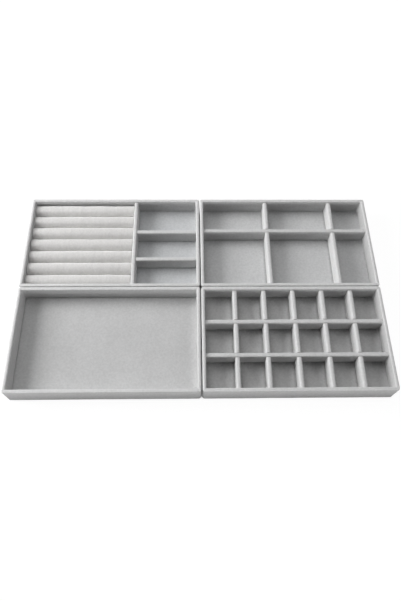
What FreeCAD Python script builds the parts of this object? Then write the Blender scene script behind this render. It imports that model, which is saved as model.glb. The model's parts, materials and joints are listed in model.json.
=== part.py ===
"""A set of four stackable velvet-covered jewelry trays, laid out two by two."""
import FreeCAD, Part
import os

# The set, in millimetres. +X runs to the right, +Y to the back and +Z up, and the
# origin lies on the table under the middle of the set.
TRAY_WIDTH = 230.0
TRAY_DEPTH = 138.0
TRAY_HEIGHT = 30.0
SIDE_GAP = 1.2  # between a left tray and a right tray
MIDDLE_GAP = 0.6  # between a front tray and a back tray

# Boards, card and velvet that every tray is made of.
WALL_BOARD = 3.0
BASE_BOARD = 3.0
UNDERSIDE_CARD = 0.6
CARD_INSET = 5.0  # from the tray's outer face to the card's edge
CORNER_ROUND = 3.0  # upright corners of the tray, outside the velvet
VELVET = 0.75  # cloth, backing and glue
HEM_WIDTH = 12.0  # velvet turned in under the base board
FLOOR_PAD = 4.15  # velvet over foam over card
PAD_CLEARANCE = 0.3
PAD_EDGE_ROUND = 1.0

# Dividers: a board strip inside a folded velvet cover, halved together where two cross.
DIVIDER_BOARD = 4.0
DIVIDER_DROP = 2.3  # from the rim down to a divider's top
DIVIDER_END_CLEARANCE = 0.1
LAP_CLEARANCE = 0.15  # on each side of a divider in another one's notch

# Ring tray: a bay of soft rolls on the left, three compartments on the right.
ROLL_COUNT = 7
ROLL_GAP = 0.3  # between two rolls
ROLL_FLAT = 0.8  # pressed flat where a roll lies on the floor pad
ROLL_END_ROUND = 1.5
ROLL_END_CLEARANCE = 0.2
ROLL_END_OPENING = 8.0  # across the round hole that the velvet leaves at a roll's end
FOAM_CLEARANCE = 0.05  # between a roll's foam and its velvet
RING_CELL_WIDTH = 79.4
RING_BACK_CELL = 45.6
RING_FRONT_CELL = 35.0  # the middle compartment takes the rest

# Six-compartment tray: two wide columns and a narrow one, a shallow row behind a deep one.
SIX_NARROW_CELL = 42.3
SIX_BACK_CELL = 43.9

# Tray of small compartments, of one size but for a wider left column and a deeper back row.
GRID_COLUMNS = 6
GRID_ROWS = 3
GRID_LEFT_EXTRA = 3.9
GRID_BACK_EXTRA = 2.2

# Working limits.
OVERCUT = 1.0  # how far a cut runs past a face
NEAR = 1e-4  # how near two places count as one
MOST_ROUND = 0.45  # the most of a thickness that one rounded edge takes

# Heights from the table, and the sizes across, that follow from the values above.
hem_bottom = UNDERSIDE_CARD
base_bottom = hem_bottom + VELVET
base_top = base_bottom + BASE_BOARD
floor_top = base_top + FLOOR_PAD
wall_top = TRAY_HEIGHT - VELVET
divider_top = TRAY_HEIGHT - DIVIDER_DROP
core_width = TRAY_WIDTH - 2 * VELVET
core_depth = TRAY_DEPTH - 2 * VELVET
core_corner = CORNER_ROUND - VELVET
wall = WALL_BOARD + 2 * VELVET
inner_width = TRAY_WIDTH - 2 * wall
inner_depth = TRAY_DEPTH - 2 * wall
divider = DIVIDER_BOARD + 2 * VELVET
# Velvet rounds a board's edge at twice its own thickness, and less on a thin board.
rim_round = min(2 * VELVET, MOST_ROUND * wall)
divider_round = min(2 * VELVET, MOST_ROUND * divider)
roll_bay_width = inner_width - divider - RING_CELL_WIDTH


def block(x0, x1, y0, y1, z0, z1):
    """A box between two limits on each axis."""
    return Part.makeBox(x1 - x0, y1 - y0, z1 - z0, FreeCAD.Vector(x0, y0, z0))


def plate(width, depth, z0, z1):
    """A flat piece centred on its tray."""
    return block(-width / 2, width / 2, -depth / 2, depth / 2, z0, z1)


def rounded_plate(width, depth, z0, z1, corner):
    """A flat piece centred on its tray, with its four upright edges rounded."""
    flat = plate(width, depth, z0, z1)
    upright = [e for e in flat.Edges if abs(e.Vertexes[0].Z - e.Vertexes[-1].Z) > NEAR]
    return flat.makeFillet(corner, upright)


def bar(axis, u0, u1, v0, v1, z0, z1):
    """A box that runs from u0 to u1 along one axis and from v0 to v1 across it."""
    if axis == "x":
        return block(u0, u1, v0, v1, z0, z1)
    return block(v0, v1, u0, u1, z0, z1)


def level_edges(shape, height):
    """The edges that lie at one height."""
    return [e for e in shape.Edges if all(abs(v.Z - height) < NEAR for v in e.Vertexes)]


def velvet_wrap():
    """The velvet skin: up the outside, over the rim, down to the base and hemmed underneath."""
    outer = rounded_plate(TRAY_WIDTH, TRAY_DEPTH, hem_bottom, TRAY_HEIGHT, CORNER_ROUND)
    folds = level_edges(outer, hem_bottom) + level_edges(outer, TRAY_HEIGHT)
    outer = outer.makeFillet(rim_round, folds)
    hollow = plate(inner_width, inner_depth, base_top, TRAY_HEIGHT + OVERCUT)
    shell = outer.cut(hollow)
    x, y = inner_width / 2 + NEAR, inner_depth / 2 + NEAR
    rim = []
    for edge in level_edges(shell, TRAY_HEIGHT):
        if all(abs(v.X) < x and abs(v.Y) < y for v in edge.Vertexes):
            rim.append(edge)
    shell = shell.makeFillet(rim_round, rim)
    boards = rounded_plate(core_width, core_depth, base_bottom, wall_top, core_corner)
    lining = plate(inner_width + 2 * VELVET, inner_depth + 2 * VELVET, base_top, wall_top)
    opening = plate(
        TRAY_WIDTH - 2 * HEM_WIDTH, TRAY_DEPTH - 2 * HEM_WIDTH, hem_bottom - OVERCUT, base_bottom
    )
    return shell.cut(boards.cut(lining)).cut(opening)


def wall_boards():
    """Four boards on the base: front and back run right across, the sides stand between them."""
    x, y = core_width / 2, core_depth / 2
    core = rounded_plate(core_width, core_depth, base_top, wall_top, core_corner)
    boards = {
        "front_wall": block(-x, x, -y, -y + WALL_BOARD, base_top, wall_top),
        "back_wall": block(-x, x, y - WALL_BOARD, y, base_top, wall_top),
        "left_wall": block(-x, -x + WALL_BOARD, -y + WALL_BOARD, y - WALL_BOARD, base_top, wall_top),
        "right_wall": block(x - WALL_BOARD, x, -y + WALL_BOARD, y - WALL_BOARD, base_top, wall_top),
    }
    return {name: core.common(board) for name, board in boards.items()}


def floor_pad():
    """The padded floor on the base board, a little clear of the walls' lining."""
    pad = plate(inner_width - 2 * PAD_CLEARANCE, inner_depth - 2 * PAD_CLEARANCE, base_top, floor_top)
    return pad.makeFillet(min(PAD_EDGE_ROUND, MOST_ROUND * FLOOR_PAD), level_edges(pad, floor_top))


def tray_body():
    """The pieces that all four trays share, by name."""
    card = plate(TRAY_WIDTH - 2 * CARD_INSET, TRAY_DEPTH - 2 * CARD_INSET, 0, UNDERSIDE_CARD)
    pieces = {
        "underside_card": card,
        "base_board": rounded_plate(core_width, core_depth, base_bottom, base_top, core_corner),
        "velvet_wrap": velvet_wrap(),
        "floor_pad": floor_pad(),
    }
    pieces.update(wall_boards())
    return pieces


def notch_places(crossings, z0, z1):
    """Where the notches of a divider lie: along it, and in height."""
    half = divider / 2 + LAP_CLEARANCE
    return [(u - half, u + half, z0, z1) for u in crossings]


def make_divider(axis, place, start, end, notches=()):
    """One divider between two faces: its velvet cover and the board strip inside."""
    u0, u1 = start + DIVIDER_END_CLEARANCE, end - DIVIDER_END_CLEARANCE
    v0, v1 = place - divider / 2, place + divider / 2
    cover = bar(axis, u0, u1, v0, v1, floor_top, divider_top)
    ridges = []
    for edge in level_edges(cover, divider_top):
        first, last = edge.Vertexes[0].Point, edge.Vertexes[-1].Point
        along = last - first
        if abs(along.x if axis == "x" else along.y) > NEAR:
            ridges.append(edge)
    cover = cover.makeFillet(divider_round, ridges)
    strip = bar(axis, u0, u1, v0 + VELVET, v1 - VELVET, floor_top, divider_top - VELVET)
    cover = cover.cut(strip)
    for n0, n1, z0, z1 in notches:
        cut = bar(axis, n0, n1, v0 - OVERCUT, v1 + OVERCUT, z0, z1)
        cover = cover.cut(cut)
        strip = strip.cut(cut)
    return cover, strip


def crossed_dividers(lengthwise_places, crosswise_places):
    """Dividers across the whole tray. The left-to-right ones lie over the front-to-back ones."""
    half_height = (floor_top + divider_top) / 2
    from_below = notch_places(crosswise_places, floor_top - OVERCUT, half_height)
    from_above = notch_places(lengthwise_places, half_height, divider_top + OVERCUT)
    x, y = inner_width / 2, inner_depth / 2
    lengthwise = [make_divider("x", place, -x, x, from_below) for place in lengthwise_places]
    crosswise = [make_divider("y", place, -y, y, from_above) for place in crosswise_places]
    return lengthwise, crosswise


def named_dividers(lengthwise, crosswise):
    """Each cover under its own name, and a tray's board strips together as one group."""
    pieces, strips = {}, []
    for way, dividers in (("lengthwise", lengthwise), ("crosswise", crosswise)):
        for number, (cover, strip) in enumerate(dividers, 1):
            pieces[f"{way}_divider_velvet_{number}"] = cover
            strips.append(strip)
    pieces["divider_boards"] = Part.makeCompound(strips)
    return pieces


def roll_bar(radius, length, end_round):
    """A round bar along X with rounded ends, centred on the origin and pressed flat underneath."""
    end = length / 2
    corner = end_round * (1 - 0.5**0.5)
    outline = [
        Part.LineSegment(FreeCAD.Vector(-end, 0, 0), FreeCAD.Vector(-end, 0, radius - end_round)),
        Part.Arc(
            FreeCAD.Vector(-end, 0, radius - end_round),
            FreeCAD.Vector(-end + corner, 0, radius - corner),
            FreeCAD.Vector(-end + end_round, 0, radius),
        ),
        Part.LineSegment(
            FreeCAD.Vector(-end + end_round, 0, radius), FreeCAD.Vector(end - end_round, 0, radius)
        ),
        Part.Arc(
            FreeCAD.Vector(end - end_round, 0, radius),
            FreeCAD.Vector(end - corner, 0, radius - corner),
            FreeCAD.Vector(end, 0, radius - end_round),
        ),
        Part.LineSegment(FreeCAD.Vector(end, 0, radius - end_round), FreeCAD.Vector(end, 0, 0)),
        Part.LineSegment(FreeCAD.Vector(end, 0, 0), FreeCAD.Vector(-end, 0, 0)),
    ]
    face = Part.Face(Part.Wire([piece.toShape() for piece in outline]))
    round_bar = face.revolve(FreeCAD.Vector(0, 0, 0), FreeCAD.Vector(1, 0, 0), 360)
    below = block(-length, length, -2 * radius, 2 * radius, -2 * radius, ROLL_FLAT - radius)
    return round_bar.cut(below)


def ring_rolls():
    """Foam bars in velvet sleeves, side by side from the back wall to the front."""
    pitch = inner_depth / ROLL_COUNT
    radius = (pitch - ROLL_GAP) / 2
    length = roll_bay_width - 2 * ROLL_END_CLEARANCE
    sleeve = roll_bar(radius, length, ROLL_END_ROUND)
    sleeve = sleeve.cut(roll_bar(radius - VELVET, length - 2 * VELVET, ROLL_END_ROUND - VELVET))
    opening = Part.makeCylinder(
        ROLL_END_OPENING / 2, 2 * length, FreeCAD.Vector(-length, 0, 0), FreeCAD.Vector(1, 0, 0)
    )
    sleeve = sleeve.cut(opening)
    skin = VELVET + FOAM_CLEARANCE
    foam = roll_bar(radius - skin, length - 2 * skin, ROLL_END_ROUND - skin)
    middle = (roll_bay_width - inner_width) / 2
    height = floor_top + radius - ROLL_FLAT
    pieces, foams = {}, []
    for number in range(ROLL_COUNT):
        spot = FreeCAD.Vector(middle, inner_depth / 2 - pitch * (number + 0.5), height)
        pieces[f"roll_velvet_{number + 1}"] = sleeve.translated(spot)
        foams.append(foam.translated(spot))
    pieces["roll_foams"] = Part.makeCompound(foams)
    return pieces


def ring_tray():
    """Rolls on the left of a full-depth divider, compartments on its right."""
    x, y = inner_width / 2, inner_depth / 2
    bay_divider = x - RING_CELL_WIDTH - divider / 2
    places = (y - RING_BACK_CELL - divider / 2, -y + RING_FRONT_CELL + divider / 2)
    lengthwise = [make_divider("x", place, bay_divider + divider / 2, x) for place in places]
    crosswise = [make_divider("y", bay_divider, -y, y)]
    return {**tray_body(), **named_dividers(lengthwise, crosswise), **ring_rolls()}


def six_tray():
    """Two wide columns and a narrow one, in a shallow back row and a deep front row."""
    wide_cell = (inner_width - 2 * divider - SIX_NARROW_CELL) / 2
    first = -inner_width / 2 + wide_cell + divider / 2
    second = inner_width / 2 - SIX_NARROW_CELL - divider / 2
    row = inner_depth / 2 - SIX_BACK_CELL - divider / 2
    return {**tray_body(), **named_dividers(*crossed_dividers([row], [first, second]))}


def open_tray():
    """One open compartment."""
    return tray_body()


def grid_tray():
    """Columns of one width from the right wall on, rows of one depth from the front wall on."""
    column = (inner_width + divider - GRID_LEFT_EXTRA) / GRID_COLUMNS
    row = (inner_depth + divider - GRID_BACK_EXTRA) / GRID_ROWS
    right_end, front_end = (inner_width + divider) / 2, -(inner_depth + divider) / 2
    columns = [right_end - column * n for n in reversed(range(1, GRID_COLUMNS))]
    rows = [front_end + row * n for n in reversed(range(1, GRID_ROWS))]
    return {**tray_body(), **named_dividers(*crossed_dividers(rows, columns))}


def save(node, shape):
    """Writes one piece, or one group of like pieces, under its name."""
    if not shape.isValid():
        raise ValueError(f"{node} isn't a sound solid")
    shape.exportStep(os.path.join("parts", f"{node}.step"))
    print(f"{node}: {len(shape.Solids)} solid(s), {shape.Volume / 1000:.2f} cm3")


os.makedirs("parts", exist_ok=True)
right = (TRAY_WIDTH + SIDE_GAP) / 2
back = (TRAY_DEPTH + MIDDLE_GAP) / 2
layout = {
    "ring_tray": (ring_tray(), -right, back),
    "six_tray": (six_tray(), right, back),
    "open_tray": (open_tray(), -right, -back),
    "grid_tray": (grid_tray(), right, -back),
}
for tray, (pieces, x, y) in layout.items():
    for name, shape in pieces.items():
        save(f"{tray}_{name}", shape.translated(FreeCAD.Vector(x, y, 0)))
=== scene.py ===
# %% [markdown]
# # A set of four velvet jewelry trays
#
# Four shallow trays of one size stand in two rows of two. Each is a box of thin boards wrapped in pale
# grey velvet: one has ring rolls, one has six compartments, one is open and one has eighteen.
# The CAD model already holds every board, card and cover at its place, so the script starts by loading
# it. What shows on the real trays is cloth, so this lesson makes the cloth and the light, and leaves the
# boards and cards where the CAD model put them.

# %% Load the frame
import json
import math

import bmesh
import bpy
from mathutils import Matrix, Vector

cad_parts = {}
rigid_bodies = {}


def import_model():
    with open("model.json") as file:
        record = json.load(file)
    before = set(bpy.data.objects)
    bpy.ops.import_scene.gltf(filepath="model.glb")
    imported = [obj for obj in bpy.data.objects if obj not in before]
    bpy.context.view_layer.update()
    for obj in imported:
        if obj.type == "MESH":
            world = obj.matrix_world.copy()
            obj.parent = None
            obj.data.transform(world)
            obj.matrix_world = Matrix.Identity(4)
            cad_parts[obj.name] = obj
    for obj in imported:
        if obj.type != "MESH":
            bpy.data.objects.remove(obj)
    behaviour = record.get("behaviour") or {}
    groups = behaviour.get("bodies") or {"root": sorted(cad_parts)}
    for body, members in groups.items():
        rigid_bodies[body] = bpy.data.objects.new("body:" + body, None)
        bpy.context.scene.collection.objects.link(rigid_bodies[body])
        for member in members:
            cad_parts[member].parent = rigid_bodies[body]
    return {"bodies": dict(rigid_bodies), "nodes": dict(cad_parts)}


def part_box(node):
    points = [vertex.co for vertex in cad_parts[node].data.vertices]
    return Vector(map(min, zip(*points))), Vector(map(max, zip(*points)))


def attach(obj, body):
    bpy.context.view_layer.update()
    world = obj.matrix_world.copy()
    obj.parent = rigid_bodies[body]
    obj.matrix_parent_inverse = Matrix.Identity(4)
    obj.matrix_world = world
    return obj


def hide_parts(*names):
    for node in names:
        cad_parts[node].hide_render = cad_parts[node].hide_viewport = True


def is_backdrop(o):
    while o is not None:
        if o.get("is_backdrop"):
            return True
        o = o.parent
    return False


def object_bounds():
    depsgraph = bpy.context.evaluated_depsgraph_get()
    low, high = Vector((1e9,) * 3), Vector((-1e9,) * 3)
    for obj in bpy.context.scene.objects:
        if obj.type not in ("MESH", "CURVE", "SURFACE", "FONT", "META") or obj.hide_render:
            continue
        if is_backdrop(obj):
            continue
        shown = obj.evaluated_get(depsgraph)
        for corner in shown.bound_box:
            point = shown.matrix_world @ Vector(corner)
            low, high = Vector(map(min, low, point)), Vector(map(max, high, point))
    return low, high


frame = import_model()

MM = 0.001
TRAYS = sorted(frame["bodies"])
cad_low, cad_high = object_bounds()
print("trays", TRAYS)
print("CAD box in mm", [round(side / MM, 1) for side in cad_high - cad_low])

# %% [markdown]
# ## Camera
#
# The photograph was taken from the front, well above the trays, with the camera turned a little to the
# right and tipped a little on its side. A camera in Blender looks down its own -Z axis, so it is turned
# in three steps: tipped up from straight down, turned about the vertical, and rolled about its own view.
# The lens is worked out from the length in pixels that the perspective of the tray rims gives.

# %% Set up the camera
SENSOR = 36.0
IMAGE_LONG_SIDE = 601
FOCAL_PIXELS = 512.9
CAMERA_PLACE = (-0.0148, -0.3125, 0.6038)
CAMERA_DOWN = math.radians(63.00)
CAMERA_TURN = math.radians(2.82)
CAMERA_ROLL = math.radians(2.32)

tip = Matrix.Rotation(math.pi / 2 - CAMERA_DOWN, 3, "X")
turn = Matrix.Rotation(-CAMERA_TURN, 3, "Z")
roll = Matrix.Rotation(CAMERA_ROLL, 3, "Z")
bpy.ops.object.camera_add(location=CAMERA_PLACE, rotation=(turn @ tip @ roll).to_euler())
camera = bpy.context.object
camera.name = "photo_camera"
camera.data.sensor_width = SENSOR
camera.data.lens = FOCAL_PIXELS * SENSOR / IMAGE_LONG_SIDE
bpy.context.scene.camera = camera
bpy.context.scene.view_settings.view_transform = "Standard"
print("lens in mm", round(camera.data.lens, 2))

# %% [markdown]
# ## Shader wiring
#
# A material is a graph of nodes, and drawing it by hand in code takes many lines. A small class that
# wraps one output socket makes it read like arithmetic: adding or multiplying two wires adds a Math node.
# Every other kind of node comes from one method, which sets the node's own settings first and then its
# sockets, each with a number or with another wire.

# %% A wire between shader nodes
class Wire:
    """One output socket. Arithmetic on it adds Math nodes, and node() adds any other kind."""

    def __init__(self, socket):
        self.socket = socket

    def node(self, kind, settings=None, sockets=None, out=0):
        tree = self.socket.id_data
        made = tree.nodes.new(kind)
        for name, value in (settings or {}).items():
            if name == "stops":
                self.set_stops(made.color_ramp, value)
            else:
                setattr(made, name, value)
        for name, value in (sockets or {}).items():
            if isinstance(value, Wire):
                tree.links.new(value.socket, made.inputs[name])
            else:
                made.inputs[name].default_value = value
        return Wire(made.outputs[out]) if made.outputs else None

    @staticmethod
    def set_stops(ramp, stops):
        while len(ramp.elements) < len(stops):
            ramp.elements.new(1.0)
        for element, (place, shade) in zip(ramp.elements, stops):
            element.position = place
            element.color = (shade, shade, shade, 1)

    def math(self, operation, first, second):
        return self.node("ShaderNodeMath", {"operation": operation}, {0: first, 1: second})

    def __add__(self, other):
        return self.math("ADD", self, other)

    def __sub__(self, other):
        return self.math("SUBTRACT", self, other)

    def __rsub__(self, other):
        return self.math("SUBTRACT", other, self)

    def __mul__(self, other):
        return self.math("MULTIPLY", self, other)

    __radd__ = __add__


def blank_material(name):
    """A material with no nodes, and a wire with the place of each point on the piece."""
    material = bpy.data.materials.new(name)
    material.use_nodes = True
    material.node_tree.nodes.clear()
    where = material.node_tree.nodes.new("ShaderNodeTexCoord").outputs["Object"]
    return material, Wire(where)


def seen_rays(tree):
    """A wire that is 1 for what the camera sees, straight or by a reflection, and 0 for other light."""
    outputs = tree.nodes.new("ShaderNodeLightPath").outputs
    straight, mirrored, through = (
        Wire(outputs[f"Is {kind} Ray"]) for kind in ("Camera", "Glossy", "Transmission")
    )
    return straight.math("MAXIMUM", straight, mirrored.math("MAXIMUM", mirrored, through))


print("shader wiring ready")

# %% [markdown]
# ## Studio
#
# The trays stand on a plain white ground. It is an ordinary matte floor that is lifted to white only for
# what the camera sees, so that it keeps a faint shadow and adds no light to the trays. An Ambient
# Occlusion node takes the lift away in the narrow gaps between the trays, which stay dark.

# %% Floor
WHITE = (1, 1, 1, 1)
FLOOR_SIDE = 6.0
FLOOR_SHADE = 0.85
FLOOR_LIFT = 0.90
FLOOR_GLOW = 1.06
GAP_REACH = 0.04
GAP_STOPS = [(0.08, 0.0), (0.46, 1.0)]

bpy.ops.object.select_all(action="DESELECT")
bpy.ops.mesh.primitive_plane_add(size=FLOOR_SIDE, location=(0, 0, cad_low.z))
floor = bpy.context.object
floor.name = "studio_floor"
bpy.ops.object.transform_apply(location=True)
floor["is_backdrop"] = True

paint, where = blank_material("studio_floor")
matte = where.node("ShaderNodeBsdfDiffuse", {}, {"Color": (FLOOR_SHADE, FLOOR_SHADE, FLOOR_SHADE, 1)})
glow = where.node("ShaderNodeEmission", {}, {"Color": WHITE, "Strength": FLOOR_GLOW})
open_sky = where.node("ShaderNodeAmbientOcclusion", {}, {"Distance": GAP_REACH}, out="AO")
in_the_open = open_sky.node("ShaderNodeValToRGB", {"stops": GAP_STOPS}, {"Fac": open_sky})
lift = seen_rays(paint.node_tree) * in_the_open * FLOOR_LIFT
ground = where.node("ShaderNodeMixShader", {}, {0: lift, 1: matte, 2: glow})
ground.node("ShaderNodeOutputMaterial", {}, {"Surface": ground})
floor.data.materials.append(paint)
print("floor side in m", FLOOR_SIDE)

# %% [markdown]
# A large soft lamp on the left, with a lower one under it, throws the shade of the left walls and dividers
# across the floors, as a window would. Weaker lamps at the right, the back and the front open up the other
# sides. All are round area lamps, so one loop makes them, with the strength written as the brightness of
# a white card that faces the lamp.

# %% Lamps
# bearing from -X towards +Y and height in degrees, distance in metres, strength, angular size in degrees
LAMPS = {
    "key_lamp": (12, 31, 1.5, 0.74, 30),
    "low_lamp": (0, 15, 3.0, 0.33, 20),
    "right_lamp": (180, 42, 3.0, 0.27, 45),
    "back_lamp": (75, 48, 3.0, 0.26, 45),
    "front_lamp": (-90, 4, 3.0, 0.31, 8),
}

for name, (bearing, height, far, strength, size) in LAMPS.items():
    turn_left, tip_up = math.radians(bearing), math.radians(height)
    to_lamp = Vector((-math.cos(turn_left), math.sin(turn_left), math.tan(tip_up))).normalized()
    bpy.ops.object.light_add(
        type="AREA", location=to_lamp * far, rotation=to_lamp.to_track_quat("Z", "Y").to_euler()
    )
    lamp = bpy.context.object
    lamp.name = name
    lamp.data.shape = "DISK"
    lamp.data.size = 2 * far * math.tan(math.radians(size / 2))
    lamp.data.energy = strength * (math.pi * far) ** 2
    lamp.visible_camera = False
    print(name, "watts", round(lamp.data.energy, 1), "size in m", round(lamp.data.size, 2))

# %% [markdown]
# The world is white for what the camera sees and nearly dark for all other light. So the lamps alone shape
# the trays, and a little fill keeps the deepest corners open.

# %% World
FILL = 0.02

world = bpy.data.worlds.new("studio")
world.use_nodes = True
world.node_tree.nodes.clear()
bpy.context.scene.world = world
seen = seen_rays(world.node_tree)
sky = seen.node("ShaderNodeBackground", {}, {"Color": WHITE, "Strength": seen * (1 - FILL) + FILL})
sky.node("ShaderNodeOutputWorld", {}, {"Surface": sky})
print("fill", FILL)

# %% [markdown]
# ## Velvet
#
# Velvet is short upright pile on a woven back. It is matte, it catches light at a grazing angle, and its
# pile lies a little this way or that, which leaves soft lighter and darker clouds. A flat grey would look
# like paint, so noises at three sizes vary the colour: the clouds of the nap, a few centimetres wide, the
# grain where tufts lean together, and the pile itself, under a millimetre. Three helpers make such a noise,
# a mix of two colours and a grey.

# %% Noise and colours
MIX_FACTOR, MIX_FIRST, MIX_SECOND, MIX_COLOUR = 0, 6, 7, 2


def noise(where, size, detail=2.0, roughness=0.5):
    """A wire of soft noise from 0 to 1, with clouds of the given size."""
    sockets = {"Vector": where, "Scale": 1 / size, "Detail": detail, "Roughness": roughness}
    return where.node("ShaderNodeTexNoise", {}, sockets, out="Fac")


def mix_colours(amount, first, second):
    """A wire that goes from the first colour to the second."""
    sockets = {MIX_FACTOR: amount, MIX_FIRST: first, MIX_SECOND: second}
    settings = {"data_type": "RGBA", "clamp_factor": False}
    return amount.node("ShaderNodeMix", settings, sockets, out=MIX_COLOUR)


def grey(level, warmth=0.0):
    """A linear grey, a little warmer or cooler than neutral."""
    return (level * (1 + warmth), level, level * (1 - warmth), 1)


print("noise and colours ready")

# %% [markdown]
# Faces that look up get a lighter tone, and on the dividers those that look left, too: a painted highlight
# for the light that falls from above and from the left. The outside of a tray is painted lighter below the
# rim and darker towards the foot, and a pad darker along the dividers and walls: painted light and shade.
# The wraps and pads store that on their points, and the material reads it. On the ring rolls the cloth is
# slack and wrinkles run round them, which one more noise draws, stretched across the roll. Pile and
# wrinkles also feed a Bump node. Sheen is the same all over a piece, so it is set as a plain number.

# %% The velvet material
NAP_SIZE = 34 * MM
GRAIN_SIZE = 2.6 * MM
PILE_SIZE = 0.8 * MM
WRINKLE_SIZE = 4.5 * MM
WRINKLE_STRETCH = (1, 0.12, 0.12)
NAP_SHARE, GRAIN_SHARE, PILE_SHARE = 0.4, 0.7, 0.3
MIDWAY = 0.5
LIT_FACING_STOPS = [(0.25, 0.0), (0.7, 1.0)]
PILE_HEIGHT = 0.25 * MM
PILE_BUMP = 0.35
WRINKLE_BUMP = 4
LEAST_ROUGH, PILE_ROUGH = 0.86, 0.12
VELVET_SHINE = 0.2
SHEEN_ROUGHNESS = 0.4


def velvet(name, level, warmth, contrast, sheen, painted_highlight=0.0, towards=(0, 0, 1), wrinkled=0.0):
    """Velvet of one base tone, with a cloudy nap, a fine pile, painted light towards a side, painted shade
    and wrinkles.
    """
    material, where = blank_material(name)
    # faces that look towards the given side are painted lighter: a painted highlight, as if lit from there
    sides = {0: Wire(where.socket.node.outputs["Normal"]), 1: towards}
    aside = where.node("ShaderNodeVectorMath", {"operation": "DOT_PRODUCT"}, sides, out="Value")
    lit_facing = aside.node("ShaderNodeValToRGB", {"stops": LIT_FACING_STOPS}, {"Fac": aside})
    nap = noise(where, NAP_SIZE, detail=3.0, roughness=0.6)
    grain = noise(where, GRAIN_SIZE, detail=1.0)
    pile = noise(where, PILE_SIZE, detail=2.0)
    stretched = where.node("ShaderNodeMapping", {}, {"Vector": where, "Scale": WRINKLE_STRETCH})
    wrinkles = noise(stretched, WRINKLE_SIZE, detail=1.0)
    # the share of painted shade stored on the points, below zero where light is painted
    darker = where.node("ShaderNodeAttribute", {"attribute_name": "darker"}, out="Fac")
    clouds = (nap - MIDWAY) * NAP_SHARE + (grain - MIDWAY) * GRAIN_SHARE + (pile - MIDWAY) * PILE_SHARE
    cloudy = clouds + (wrinkles - MIDWAY) * wrinkled
    # the tone takes the painted highlight on facing faces and the painted shade stored on the points
    tone = cloudy + (lit_facing * painted_highlight - darker) * (MIDWAY / contrast) + MIDWAY
    dark = grey(level * (1 - contrast), warmth)
    light = grey(level * (1 + contrast), warmth)
    colour = mix_colours(tone, dark, light)
    height = pile + wrinkles * (WRINKLE_BUMP * wrinkled)
    bumps = {"Strength": PILE_BUMP, "Distance": PILE_HEIGHT, "Height": height}
    normal = where.node("ShaderNodeBump", {}, bumps)
    cloth = where.node("ShaderNodeBsdfPrincipled", {}, {
        "Base Color": colour,
        "Roughness": LEAST_ROUGH + pile * PILE_ROUGH,
        "Normal": normal,
        "Specular IOR Level": VELVET_SHINE,
        "Sheen Weight": sheen,
        "Sheen Roughness": SHEEN_ROUGHNESS,
    })
    cloth.node("ShaderNodeOutputMaterial", {}, {"Surface": cloth})
    return material


print("velvet material ready")

# %% [markdown]
# Each floor pad has its own tone; the divided trays get lighter pads than the open one, painted light for
# what their walls and dividers keep off. The wraps and the divider covers share one grey. The rolls are
# paler and warmer, with the strongest sheen and wrinkles.

# %% The velvets of the trays
# the pad tones carry painted light: the divided trays are lighter for the light their walls keep off
# tone and warmth
PAD_TONES_WITH_PAINTED_LIGHT = {
    "ring_tray": (0.66, -0.018),
    "six_tray": (0.68, -0.006),
    "open_tray": (0.61, -0.002),
    "grid_tray": (0.66, 0.0),
}
TRAY_TONE = {"level": 0.56, "warmth": 0.0, "contrast": 0.16, "sheen": 0.25}
ROLL_TONE = {"level": 0.74, "warmth": 0.014, "contrast": 0.14, "sheen": 1.0}
LEFT_AND_UP = (-0.6, 0, 0.8)

pad_velvets = {
    tray: velvet(f"{tray}_pad_velvet", tone, warmth, contrast=0.18, sheen=0.25)
    for tray, (tone, warmth) in PAD_TONES_WITH_PAINTED_LIGHT.items()
}
# painted highlight: on the wraps on faces that look up, on the divider covers on faces that look up and
# left
wrap_velvet = velvet("tray_velvet", **TRAY_TONE, painted_highlight=0.3)
divider_velvet = velvet("divider_velvet", **TRAY_TONE, painted_highlight=0.26, towards=LEFT_AND_UP)
roll_velvet = velvet("sleeve_velvet", **ROLL_TONE, wrinkled=0.35)
print("velvets", [m.name for m in (wrap_velvet, divider_velvet, roll_velvet, *pad_velvets.values())])

# %% [markdown]
# ## Board, card and foam
#
# Under the velvet are grey board walls, and under the tray a sheet of card that covers the turned-in hem.
# The card shows when a tray is lifted, the board and foam only at a cut end. Board is pressed fibre, so
# its noise is stretched along the sheet, card has flecks, and foam has small dark cells.

# %% Board, card and foam materials
BOARD_FIBRE = 1.6 * MM
FIBRE_STRETCH = (0.3, 0.3, 1.6)
CARD_CLOUD = 20 * MM
CARD_FLECK = 0.7 * MM
CLOUD_SHARE, FLECK_SHARE = 0.3, 0.7
FOAM_CELL = 0.9 * MM
CELL_STOPS = [(0.1, 0.0), (0.5, 1.0)]
MARK_BUMP = 0.4
MOST_ROUGH, MARK_SMOOTHER = 0.95, 0.15
MATTE_SHINE = 0.25


def speckled(name, dark, light, pattern, depth):
    """A matte material that goes from a dark tone to a light one with a pattern made by a function."""
    material, where = blank_material(name)
    marks = pattern(where)
    normal = where.node("ShaderNodeBump", {}, {"Strength": MARK_BUMP, "Distance": depth, "Height": marks})
    surface = where.node("ShaderNodeBsdfPrincipled", {}, {
        "Base Color": mix_colours(marks, dark, light),
        "Roughness": MOST_ROUGH - marks * MARK_SMOOTHER,
        "Normal": normal,
        "Specular IOR Level": MATTE_SHINE,
    })
    surface.node("ShaderNodeOutputMaterial", {}, {"Surface": surface})
    return material


def fibres(where):
    """The pressed fibres of board."""
    stretched = where.node("ShaderNodeMapping", {}, {"Vector": where, "Scale": FIBRE_STRETCH})
    return noise(stretched, BOARD_FIBRE, detail=4.0, roughness=0.65)


def flecks(where):
    """The clouds and flecks of card."""
    clouds = noise(where, CARD_CLOUD, detail=2.0)
    grain = noise(where, CARD_FLECK, detail=3.0, roughness=0.7)
    return clouds * CLOUD_SHARE + grain * FLECK_SHARE


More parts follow.
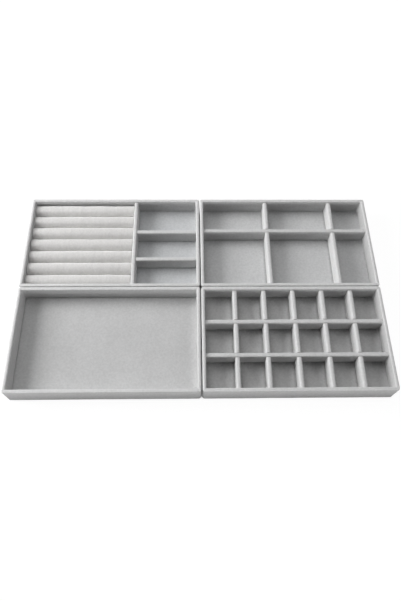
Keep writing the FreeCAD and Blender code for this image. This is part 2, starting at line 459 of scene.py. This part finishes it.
def cells(where):
    """The small dark cells of foam."""
    sockets = {"Vector": where, "Scale": 1 / FOAM_CELL}
    bubbles = where.node("ShaderNodeTexVoronoi", {}, sockets, out="Distance")
    return bubbles.node("ShaderNodeValToRGB", {"stops": CELL_STOPS}, {"Fac": bubbles})


grey_board = speckled("fibre_board", grey(0.24, 0.06), grey(0.38, 0.06), fibres, depth=0.1 * MM)
underside_card = speckled("base_card", grey(0.20), grey(0.34), flecks, depth=0.08 * MM)
white_foam = speckled("roll_foam", grey(0.55, 0.02), grey(0.80, 0.02), cells, depth=0.2 * MM)
print("materials", [m.name for m in (grey_board, underside_card, white_foam)])

# %% [markdown]
# Every CAD node gets one of the three for a start. The velvet nodes are replaced later by modelled cloth.

# %% Give the CAD nodes their materials
for name, node in frame["nodes"].items():
    if name.endswith("_underside_card"):
        finish = underside_card
    elif name.endswith("_foams"):
        finish = white_foam
    else:
        finish = grey_board
    node.data.materials.clear()
    node.data.materials.append(finish)
print("CAD nodes given a material", len(frame["nodes"]))

# %% [markdown]
# ## Tools for modelling by code
#
# In the window a modeller adds a cube, enters edit mode, clicks the faces or edges to change and runs an
# operator on them. The same operators run from a script. Only the clicking is different: pick() selects
# the faces, edges or points that pass a test on their place or direction. Every primitive starts with
# nothing else selected, because an operator acts on all that is selected.

# %% Helpers for edit mode
X, Y, Z = 0, 1, 2
TOUCH = 0.01 * MM
FACING = 0.9
PARALLEL = 0.999
SHARP_TURN = 1.0


def new_cube(name, low, high):
    """A cube that fills a box, alone in the selection, with its place in its mesh."""
    bpy.ops.object.select_all(action="DESELECT")
    bpy.ops.mesh.primitive_cube_add(size=1, location=(low + high) / 2, scale=high - low)
    bpy.ops.object.transform_apply(location=True, rotation=True, scale=True)
    piece = bpy.context.object
    piece.name = name
    piece.data.name = name
    return piece


def pick(kind, wanted):
    """Selects the VERT, EDGE or FACE items of the mesh in edit mode that pass a test."""
    bpy.ops.mesh.select_mode(type=kind)
    bpy.ops.mesh.select_all(action="DESELECT")
    mesh = bpy.context.object.data
    shape = bmesh.from_edit_mesh(mesh)
    items = {"VERT": shape.verts, "EDGE": shape.edges, "FACE": shape.faces}[kind]
    for item in items:
        if wanted(item):
            item.select_set(True)
    shape.select_flush_mode()
    bmesh.update_edit_mesh(mesh)


def runs_along(edge, axis):
    """True for an edge that is parallel to the axis X, Y or Z."""
    line = edge.verts[1].co - edge.verts[0].co
    return abs(line[axis]) > PARALLEL * line.length


def middle(edge):
    """The middle of an edge."""
    return (edge.verts[0].co + edge.verts[1].co) / 2


print("edit mode helpers ready")

# %% [markdown]
# Whole objects need a few more steps: selecting one alone, applying a modifier, copying a piece with its
# own mesh, and dressing it. A dressed piece is smooth, has its material and stands in for its CAD node.

# %% Helpers for whole pieces
SMOOTH_ANGLE = math.radians(50)


def alone(piece):
    """Makes a piece the only selected and active object."""
    bpy.ops.object.select_all(action="DESELECT")
    piece.select_set(True)
    bpy.context.view_layer.objects.active = piece


def apply_modifier(piece, kind, **settings):
    """Adds a modifier, sets it up and applies it."""
    alone(piece)
    modifier = piece.modifiers.new(kind.title(), kind)
    for name, value in settings.items():
        setattr(modifier, name, value)
    bpy.ops.object.modifier_apply(modifier=modifier.name)


def copy_of(piece, name, shift):
    """A copy with a mesh of its own, moved, and with its place in that mesh."""
    alone(piece)
    bpy.ops.object.duplicate(linked=False)
    twin = bpy.context.object
    twin.name = name
    twin.data.name = name
    bpy.ops.transform.translate(value=shift)
    bpy.ops.object.transform_apply(location=True, rotation=True, scale=True)
    return twin


def dress(piece, material, tray, slot, *nodes):
    """Smooths a finished piece, gives it its material and puts it in place of its CAD nodes."""
    alone(piece)
    bpy.ops.object.shade_smooth_by_angle(angle=SMOOTH_ANGLE)
    piece.data.materials.clear()
    piece.data.materials.append(material)
    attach(piece, tray)
    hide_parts(*nodes)


print("piece helpers ready")

# %% [markdown]
# ## Velvet wraps
#
# One sheet of velvet covers each tray: it starts under the base as a hem, goes up the outside, over the
# rim and down the inside to the base board. It could be drawn as a profile and swept, but a box shows the
# steps better: the top is inset by the thickness of a wall and pushed down to make the inside, the bottom
# is inset by the hem, and both middles are deleted. What is left is one open sheet. Beveling its upright
# corners and then its folds gives the soft edges of cloth pulled over board.

# %% Measure the wrap and make the open sheet
wrap_low, wrap_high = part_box("open_tray_velvet_wrap")
side_low, side_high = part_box("open_tray_left_wall")
PILE = side_low.x - wrap_low.x
WALL = side_high.x - side_low.x + 2 * PILE
INSIDE_FOOT = side_low.z
HEM = 12 * MM
CORNER_ROUND = 3.0 * MM
CORNER_SEGMENTS = 6
FOLD_ROUND = 1.5 * MM
FOLD_SEGMENTS = 4

first_wrap = new_cube("open_tray_wrap", wrap_low, wrap_high)
bpy.ops.object.mode_set(mode="EDIT")
pick("FACE", lambda face: face.normal.z > FACING)
bpy.ops.mesh.inset(thickness=WALL)
bpy.ops.mesh.extrude_region_move(TRANSFORM_OT_translate={"value": (0, 0, INSIDE_FOOT - wrap_high.z)})
bpy.ops.mesh.delete(type="FACE")
pick("FACE", lambda face: face.normal.z < -FACING)
bpy.ops.mesh.inset(thickness=HEM)
bpy.ops.mesh.delete(type="FACE")
middle_x, half_width = (wrap_low.x + wrap_high.x) / 2, (wrap_high.x - wrap_low.x) / 2


def outer_corner(edge):
    return runs_along(edge, Z) and abs(middle(edge).x - middle_x) > half_width - TOUCH


pick("EDGE", outer_corner)
bpy.ops.mesh.bevel(offset=CORNER_ROUND, segments=CORNER_SEGMENTS, profile=0.5)
pick("EDGE", lambda edge: not edge.is_boundary and edge.calc_face_angle() > SHARP_TURN)
bpy.ops.mesh.bevel(offset=FOLD_ROUND, segments=FOLD_SEGMENTS, profile=0.5)
print("wall in mm", round(WALL / MM, 2), "faces", len(bmesh.from_edit_mesh(first_wrap.data).faces))

# %% [markdown]
# The sheet needs points along its length before it can ripple, so the long edges are subdivided in each
# direction. At each corner of the rim the cloth is folded on the diagonal. Three cuts with bisect draw
# that fold, and the middle line is pressed in.

# %% Subdivide the sheet and fold its corners
STEP = 2.6 * MM
LONG_EDGE = 10 * MM
MITRE_HALF = 0.5 * MM
MITRE_DEEP = 0.28 * MM
MITRE_REACH = 7.5 * MM
RIM_REACH = 3.2 * MM

for axis in (X, Y, Z):
    def long_run(edge):
        return runs_along(edge, axis) and edge.calc_length() > LONG_EDGE

    lengths = [edge.calc_length() for edge in bmesh.from_edit_mesh(first_wrap.data).edges if long_run(edge)]
    pick("EDGE", long_run)
    bpy.ops.mesh.subdivide(number_cuts=round(max(lengths) / STEP) - 1)

for side_x in (wrap_low.x, wrap_high.x):
    for side_y in (wrap_low.y, wrap_high.y):
        corner = Vector((side_x, side_y, wrap_high.z))
        centre = (wrap_low + wrap_high) / 2
        across = Vector((math.copysign(1, corner.x - centre.x), -math.copysign(1, corner.y - centre.y), 0))
        across.normalize()

        def at_corner(place):
            away = place - corner
            return away.z > -RIM_REACH and max(abs(away.x), abs(away.y)) < MITRE_REACH

        for offset in (-MITRE_HALF, 0, MITRE_HALF):
            pick("FACE", lambda face: at_corner(face.calc_center_median()))
            bpy.ops.mesh.bisect(plane_co=corner + across * offset, plane_no=across)
        pick("VERT", lambda v: at_corner(v.co) and abs((v.co - corner).dot(across)) < TOUCH)
        bpy.ops.transform.shrink_fatten(value=-MITRE_DEEP)
bpy.ops.object.mode_set(mode="OBJECT")
print("sheet points", len(first_wrap.data.vertices))

# %% [markdown]
# Cloth glued over board is never quite flat, so a Displace modifier gives each sheet a faint unevenness.
# Solidify then gives it its thickness and grows it inwards to the board. The outside of a wrap is painted
# lighter below the rim and darker at the foot, painted light and shade, and its points store by how much.

# %% Ripple, thickness and shade
RIPPLE_SIZE = 28 * MM
RIPPLE = 0.34 * MM
# painted light just below the rim and painted shade towards the foot, on the outside of a wrap
RIM_PAINTED_LIGHT = 0.1
FOOT_PAINTED_SHADE = 0.36

ripple = bpy.data.textures.new("cloth_ripple", "CLOUDS")
ripple.noise_scale = RIPPLE_SIZE


def thicken(piece):
    """Ripples an open sheet and gives it the thickness of velvet, inwards."""
    apply_modifier(piece, "DISPLACE", texture=ripple, texture_coords="LOCAL", strength=RIPPLE)
    apply_modifier(piece, "SOLIDIFY", thickness=PILE, offset=-1.0)


def store_painted_shade(piece, share):
    """Stores on each point its share of painted shade, from a function of its place; below zero it is
    painted light.
    """
    stored = piece.data.attributes.new("darker", "FLOAT", "POINT")
    for vertex, mark in zip(piece.data.vertices, stored.data):
        mark.value = share(vertex.co)


def painted_foot_shade(low, high):
    """A function for storing: painted light below the rim and painted shade at the foot of a wrap's
    outside.
    """
    def share(place):
        outside = min(*(place - low).xy, *(high - place).xy) < 2 * PILE
        down = (high.z - place.z) / (high.z - low.z)
        return down * (RIM_PAINTED_LIGHT + FOOT_PAINTED_SHADE) - RIM_PAINTED_LIGHT if outside else 0.0

    return share


print("ripple in mm", round(RIPPLE / MM, 2))

# %% [markdown]
# All four trays are the same box, so the sheet is copied three times before each copy is rippled at its own
# place. The velvet for a wrap is one strip, cut to once round the tray by the way from hem to inside foot.

# %% Copy and finish the wraps
wraps = {"open_tray": first_wrap}
for tray in TRAYS:
    if tray not in wraps:
        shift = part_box(f"{tray}_velvet_wrap")[0] - wrap_low
        wraps[tray] = copy_of(first_wrap, f"{tray}_wrap", shift)

for tray, wrap in wraps.items():
    thicken(wrap)
    store_painted_shade(wrap, painted_foot_shade(*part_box(f"{tray}_velvet_wrap")))
    dress(wrap, wrap_velvet, tray, "velvet", f"{tray}_velvet_wrap")

# %% [markdown]
# ## Divider covers
#
# Each divider is a strip of board with velvet folded over its top. Where two cross, they are halved
# together: the lengthwise strip is cut from below, so that its velvet runs on over the crossing, and the
# crosswise one is cut from above. A cover is a box with no bottom and no ends. Bisect draws the borders of
# each notch, and the faces in it are deleted. Cloth slips down a little where it ends, so the top edge is
# pulled down at each end and at each notch with proportional editing.

# %% Make one divider cover
DIVIDER_ROUND = 1.8 * MM
LAP_ROOM = 0.15 * MM
SIDE_CUTS = 7
TIP_DROP = 0.38 * MM
TIP_REACH = 3.0 * MM


def crossings(node, others):
    """The places along a divider where other dividers cross it, as (low, high) pairs."""
    low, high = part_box(node)
    run = X if high.x - low.x > high.y - low.y else Y
    across = 1 - run
    found = []
    for other in others:
        other_low, other_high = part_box(other)
        passes = other_low[across] < low[across] and other_high[across] > high[across]
        inside = other_low[run] > low[run] and other_high[run] < high[run]
        if passes and inside:
            found.append((other_low[run] - LAP_ROOM, other_high[run] + LAP_ROOM))
    return run, found


def divider_cover(node, name, others):
    """Velvet folded over one divider, open below and at its ends, notched where others cross."""
    low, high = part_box(node)
    run, notches = crossings(node, others)
    from_above = run == Y
    half = (low.z + high.z) / 2
    along = Vector((1 - run, run, 0))
    piece = new_cube(name, low, high)
    bpy.ops.object.mode_set(mode="EDIT")
    pick("FACE", lambda face: face.normal.z < -FACING or abs(face.normal[run]) > FACING)
    bpy.ops.mesh.delete(type="FACE")
    pick("EDGE", lambda edge: runs_along(edge, run) and not edge.is_boundary)
    bpy.ops.mesh.bevel(offset=DIVIDER_ROUND, segments=FOLD_SEGMENTS, profile=0.5)
    pick("EDGE", lambda edge: runs_along(edge, Z))
    bpy.ops.mesh.subdivide(number_cuts=SIDE_CUTS)
    borders = [border for notch in notches for border in notch]
    ends = [low[run], low[run] + TIP_REACH / 2, *borders, high[run] - TIP_REACH / 2, high[run]]
    for border in ends[1:-1]:
        bpy.ops.mesh.select_all(action="SELECT")
        bpy.ops.mesh.bisect(plane_co=along * border, plane_no=along)
    for start, end in zip(ends, ends[1:]):
        pick("EDGE", lambda edge: runs_along(edge, run) and start < middle(edge)[run] < end)
        bpy.ops.mesh.subdivide(number_cuts=max(1, round((end - start) / STEP) - 1))
    for start, end in notches:
        def in_notch(face):
            return start < face.calc_center_median()[run] < end

        pick("FACE", in_notch)
        bpy.ops.mesh.bisect(plane_co=(0, 0, half), plane_no=(0, 0, 1))
        pick("FACE", lambda face: in_notch(face) and (face.calc_center_median().z > half) == from_above)
        bpy.ops.mesh.delete(type="FACE")
    tips = borders if from_above else []
    for border in [low[run], *tips, high[run]]:
        pick("VERT", lambda v: abs(v.co[run] - border) < TOUCH and v.co.z > high.z - DIVIDER_ROUND)
        bpy.ops.transform.translate(
            value=(0, 0, -TIP_DROP), use_proportional_edit=True, use_proportional_connected=True,
            proportional_edit_falloff="SMOOTH", proportional_size=TIP_REACH,
        )
    bpy.ops.object.mode_set(mode="OBJECT")
    return piece


print("tips slip down in mm", round(TIP_DROP / MM, 2))

# %% [markdown]
# Every divider gets its cover. The velvet for one is a strip as long as the divider and as wide as both its
# sides and its top.

# %% Cover every divider
covers = {}
for tray in TRAYS:
    cloths = sorted(name for name in frame["nodes"] if name.startswith(tray) and "_divider_velvet_" in name)
    for node in cloths:
        cover = divider_cover(node, node.replace("_velvet_", "_cover_"), cloths)
        thicken(cover)
        dress(cover, divider_velvet, tray, "velvet", node)
        low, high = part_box(node)
        covers[node] = cover
print("divider covers", len(covers))

# %% [markdown]
# ## Blowing up padded pieces
#
# Foam under cloth swells a little between the lines that hold it down. The Cloth simulation does that
# better than hand-moved points: the mesh is treated as cloth, pressure pushes it outwards, and a vertex
# group holds the points that are glued or pressed. Gravity is left out. The whole swell is then scaled
# down to a cap, so that a pad keeps its crown but never grows into its neighbours, and the modifier is
# applied, so that nothing is left to simulate.

# %% The cloth simulation
SIMULATED_STEPS = 20


def swell(piece, held, pressure, slack, cap):
    """Blows a mesh up as cloth. held lists the points that stay, and cap is the most a point moves."""
    alone(piece)
    before = [vertex.co.copy() for vertex in piece.data.vertices]
    piece.vertex_groups.new(name="held").add(held, 1.0, "REPLACE")
    cloth = piece.modifiers.new("Swell", "CLOTH")
    cloth.settings.vertex_group_mass = "held"
    cloth.settings.use_pressure = True
    cloth.settings.uniform_pressure_force = pressure
    cloth.settings.shrink_min = -slack
    cloth.settings.effector_weights.gravity = 0
    cloth.collision_settings.use_collision = False
    cloth.point_cache.frame_start = 1
    cloth.point_cache.frame_end = SIMULATED_STEPS
    for step in range(1, SIMULATED_STEPS + 1):
        bpy.context.scene.frame_set(step)
    bpy.ops.object.modifier_apply(modifier=cloth.name)
    bpy.context.scene.frame_set(1)
    piece.vertex_groups.clear()
    moves = [vertex.co - start for vertex, start in zip(piece.data.vertices, before)]
    most = max(move.length for move in moves)
    share = min(1, cap / most)
    for vertex, start, move in zip(piece.data.vertices, before, moves):
        vertex.co = start + move * share
    print(piece.name, "swelled in mm", round(most / MM, 2), "and keeps", round(most * share / MM, 2))


print("steps of a simulation", SIMULATED_STEPS)

# %% [markdown]
# ## Floor pads
#
# The floor of each tray is a pad of velvet over thin foam. It is flat, with a soft edge along the walls
# and a crease along each divider, deeper at its right or front face. A box is cut at the dividers' feet,
# so that the crease has points of its own, and then subdivided evenly in between. The creases and the
# underside are held while the rest swells.

# %% Cut one floor pad
PAD_CORNER = 1.6 * MM
PAD_EDGE = 1.0 * MM
PAD_SPREAD = 0.25 * MM
PAD_STEP = 3.0 * MM
CREASE_OUT = 1.6 * MM
CREASE_DEEP = 0.75 * MM
PAD_SEGMENTS = 3
PAD_HELD = 0.2 * MM


def divide_evenly(axis, borders):
    """Subdivides a box along one axis, evenly between each pair of borders."""
    for start, end in zip(borders, borders[1:]):
        pick("EDGE", lambda edge: runs_along(edge, axis) and start < middle(edge)[axis] < end)
        cuts = round((end - start) / PAD_STEP) - 1
        if cuts > 0:
            bpy.ops.mesh.subdivide(number_cuts=cuts)


def floor_pad(tray):
    """The pad of one tray, creased along its dividers, and the points that are held when it swells."""
    low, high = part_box(f"{tray}_floor_pad")
    spread = Vector((PAD_SPREAD, PAD_SPREAD, 0))
    low, high = low - spread, high + spread
    feet = []
    for node in covers:
        if node.startswith(tray):
            foot_low, foot_high = (corner.copy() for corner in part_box(node))
            if "_crosswise_" in node:
                foot_low.x += CREASE_OUT / 2
            else:
                foot_high.y -= CREASE_OUT / 2
            feet.append((foot_low, foot_high))
    piece = new_cube(f"{tray}_pad", low, high)
    bpy.ops.object.mode_set(mode="EDIT")
    for axis in (X, Y):
        borders = []
        for foot_low, foot_high in feet:
            if foot_high[axis] - foot_low[axis] < foot_high[1 - axis] - foot_low[1 - axis]:
                pair = (foot_low[axis], foot_high[axis])
                borders += [pair[0] - CREASE_OUT, pair[0], pair[1], pair[1] + CREASE_OUT]
        along = Vector((1 - axis, axis, 0))
        for border in borders:
            bpy.ops.mesh.select_all(action="SELECT")
            bpy.ops.mesh.bisect(plane_co=along * border, plane_no=along)
        divide_evenly(axis, [low[axis], *sorted(borders), high[axis]])

    def turns(edge):
        return edge.calc_face_angle() > SHARP_TURN and middle(edge).x < high.x - TOUCH

    pick("EDGE", lambda edge: runs_along(edge, Z) and turns(edge))
    bpy.ops.mesh.bevel(offset=PAD_CORNER, segments=PAD_SEGMENTS, profile=0.5)
    pick("EDGE", lambda edge: middle(edge).z > high.z - TOUCH and turns(edge))
    bpy.ops.mesh.bevel(offset=PAD_EDGE, segments=PAD_SEGMENTS, profile=0.5)

    def pressed(place):
        return place.z > high.z - TOUCH and any(
            foot_low.x - TOUCH < place.x < foot_high.x + TOUCH
            and foot_low.y - TOUCH < place.y < foot_high.y + TOUCH
            for foot_low, foot_high in feet
        )

    pick("VERT", lambda v: pressed(v.co))
    bpy.ops.transform.translate(value=(0, 0, -CREASE_DEEP))
    bpy.ops.object.mode_set(mode="OBJECT")
    held = [v.index for v in piece.data.vertices if v.co.z < high.z - PAD_HELD]
    return piece, held


print("pad step in mm", round(PAD_STEP / MM, 1))

# %% [markdown]
# A pad is pushed in against the left wall, so its right edge rides up the right wall a little, most in the
# open tray, where no divider holds it down. Beside the dividers and the left and back walls it is painted
# darker on their shaded side, and a thin painted dark line runs along the lit side of each divider.

# %% Curl and shade a floor pad
CURL = {"open_tray": (0.9 * MM, 9 * MM)}
CURL_ELSEWHERE = (0.4 * MM, 5 * MM)
# painted shade: a strip on the shaded side of dividers and walls, and a thin line on the lit side of
# dividers
PAINTED_STRIP_SHADE = {"ring_tray": 0.1, "six_tray": 0.28, "open_tray": 0.0, "grid_tray": 0.46}
PAINTED_STRIP_REACH = 18 * MM
PAINTED_LINE_SHADE = 0.22
PAINTED_LINE_REACH = 1.0 * MM


def curl_up(pad, corner, lift, reach):
    """Lifts the right edge of a pad, less and less away from the wall."""
    alone(pad)
    bpy.ops.object.mode_set(mode="EDIT")
    edge = corner - Vector((PAD_EDGE, 0, PAD_EDGE + TOUCH))
    pick("VERT", lambda v: v.co.x > edge.x and v.co.z > edge.z)
    bpy.ops.transform.translate(
        value=(0, 0, lift), use_proportional_edit=True, use_proportional_connected=True,
        proportional_edit_falloff="SHARP", proportional_size=reach,
    )
    bpy.ops.object.mode_set(mode="OBJECT")


def painted_crease_shade(tray):
    """A function for storing painted shade: a strip on one side of each divider and wall, a line on the
    other.
    """
    low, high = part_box(f"{tray}_floor_pad")
    feet = {node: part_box(node) for node in covers if node.startswith(tray)}

    def share(place):
        away = [place.x - low.x, high.y - place.y]
        behind = []
        for node, (foot_low, foot_high) in feet.items():
            if "_crosswise_" in node and foot_low.y < place.y < foot_high.y:
                away.append(place.x - foot_high.x)
                behind.append(foot_low.x - place.x)
            elif "_lengthwise_" in node and foot_low.x < place.x < foot_high.x:
                away.append(foot_low.y - place.y)
                behind.append(place.y - foot_high.y)
        nearest = min(max(distance, 0) for distance in away if distance > -PILE)
        strip = PAINTED_STRIP_SHADE[tray] * max(0, 1 - nearest / PAINTED_STRIP_REACH) ** 2
        line = PAINTED_LINE_SHADE if any(0 < distance < PAINTED_LINE_REACH for distance in behind) else 0
        return max(strip, line)

    return share


# prints the shares of painted shade beside the dividers
print("pressed shares", PAINTED_STRIP_SHADE)

# %% [markdown]
# Each pad is cut, blown up, curled, shaded and dressed in turn. The cap keeps the swell to about a third of
# a millimetre, which is enough to catch the light.

# %% Swell the floor pads
PAD_PRESSURE = 300
PAD_SLACK = 0.0
PAD_CAP = 0.35 * MM

for tray in TRAYS:
    pad, held = floor_pad(tray)
    swell(pad, held, PAD_PRESSURE, PAD_SLACK, PAD_CAP)
    curl_up(pad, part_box(f"{tray}_floor_pad")[1], *CURL.get(tray, CURL_ELSEWHERE))
    store_painted_shade(pad, painted_crease_shade(tray))
    dress(pad, pad_velvets[tray], tray, "floor_velvet", f"{tray}_floor_pad")
    print(pad.name, "points", len(pad.data.vertices))

# %% [markdown]
# ## Ring rolls
#
# Seven soft rolls lie side by side, and rings are held in the grooves between them. A roll is a bar of
# foam in a velvet sleeve whose ends are tucked in. It starts as a cylinder a little thinner than the real
# roll. Its caps are inset and opened, the end edge is beveled round, the rims of the openings are pushed
# inwards and the bottom is pressed flat.

# %% Make the first roll
ROLL_SIDES = 48
ROLL_STEP = 2.4 * MM
ROLL_SPARE = 0.1 * MM
ROLL_END = 1.5 * MM
ROLL_END_SEGMENTS = 5
ROLL_OPENING = 8.0 * MM
ROLL_TUCK = 3.0 * MM

roll_low, roll_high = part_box("ring_tray_roll_velvet_1")
ROLL_LENGTH = roll_high.x - roll_low.x
ROLL_RADIUS = (roll_high.y - roll_low.y) / 2
THIN_RADIUS = ROLL_RADIUS - ROLL_SPARE
roll_axis = Vector((
    (roll_low.x + roll_high.x) / 2, (roll_low.y + roll_high.y) / 2, roll_high.z - ROLL_RADIUS,
))

bpy.ops.object.select_all(action="DESELECT")
bpy.ops.mesh.primitive_cylinder_add(
    vertices=ROLL_SIDES, radius=THIN_RADIUS, depth=ROLL_LENGTH, location=roll_axis,
    rotation=(0, math.pi / 2, 0),
)
first_roll = bpy.context.object
first_roll.name = "ring_tray_roll_1"
bpy.ops.object.transform_apply(location=True, rotation=True, scale=True)
bpy.ops.object.mode_set(mode="EDIT")
pick("FACE", lambda face: abs(face.normal.x) > FACING)
bpy.ops.mesh.inset(thickness=THIN_RADIUS - ROLL_OPENING / 2)
bpy.ops.mesh.delete(type="FACE")
pick("EDGE", lambda edge: not edge.is_boundary and edge.calc_face_angle() > SHARP_TURN)
bpy.ops.mesh.bevel(offset=ROLL_END, segments=ROLL_END_SEGMENTS, profile=0.5)
for inwards in (1, -1):
    def end_rim(edge):
        return edge.is_boundary and (roll_axis.x - middle(edge).x) * inwards > ROLL_LENGTH / 4

    pick("EDGE", end_rim)
    bpy.ops.mesh.extrude_region_move(TRANSFORM_OT_translate={"value": (inwards * ROLL_TUCK, 0, 0)})
pick("EDGE", lambda edge: runs_along(edge, X) and edge.calc_length() > LONG_EDGE)
bpy.ops.mesh.subdivide(number_cuts=round(ROLL_LENGTH / ROLL_STEP) - 1)
pick("VERT", lambda v: v.co.z < roll_low.z)
bpy.ops.transform.resize(value=(1, 1, 0), center_override=(roll_axis.x, roll_axis.y, roll_low.z))
bpy.ops.object.mode_set(mode="OBJECT")
print("roll points", len(first_roll.data.vertices))

# %% [markdown]
# The roll is copied six times. A sleeve has a little spare length, so when pressure fills it, faint
# wrinkles run round it. Its foot, its ends and the tucked-in rims are held.

# %% Copy the rolls and fill them
ROLL_RIPPLE = 0.3 * MM
ROLL_PRESSURE = 300
ROLL_SLACK = 0.02
ROLL_CAP = 0.25 * MM
HELD_FOOT = 0.4 * MM
HELD_END = 0.6 * MM
HELD_TUCK = 1.0 * MM

roll_nodes = sorted(name for name in frame["nodes"] if "_roll_velvet_" in name)
rolls = [first_roll]
for node in roll_nodes[1:]:
    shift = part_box(node)[0] - roll_low
    rolls.append(copy_of(first_roll, node.replace("_velvet_", "_"), shift))

for sleeve, node in zip(rolls, roll_nodes):
    low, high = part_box(node)
    apply_modifier(sleeve, "DISPLACE", texture=ripple, texture_coords="LOCAL", strength=ROLL_RIPPLE)
    held = [
        v.index for v in sleeve.data.vertices
        if v.co.z < low.z + HELD_FOOT or min(v.co.x - low.x, high.x - v.co.x) < HELD_END
        or math.hypot(v.co.y - (low.y + high.y) / 2, v.co.z - roll_axis.z) < ROLL_OPENING / 2 + HELD_TUCK
    ]
    swell(sleeve, held, ROLL_PRESSURE, ROLL_SLACK, ROLL_CAP)
    apply_modifier(sleeve, "SOLIDIFY", thickness=PILE, offset=-1.0)
    dress(sleeve, roll_velvet, "ring_tray", "roll_velvet", node)
print("ring rolls", len(rolls))

# %% [markdown]
# ## Size
#
# The dressed trays have to keep the size of the CAD model, so the last line prints their box, in the
# same form as the CAD box printed near the start.

# %% Write the sizes and finish
low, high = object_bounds()
print("visual box in mm", [round(side / MM, 1) for side in high - low])
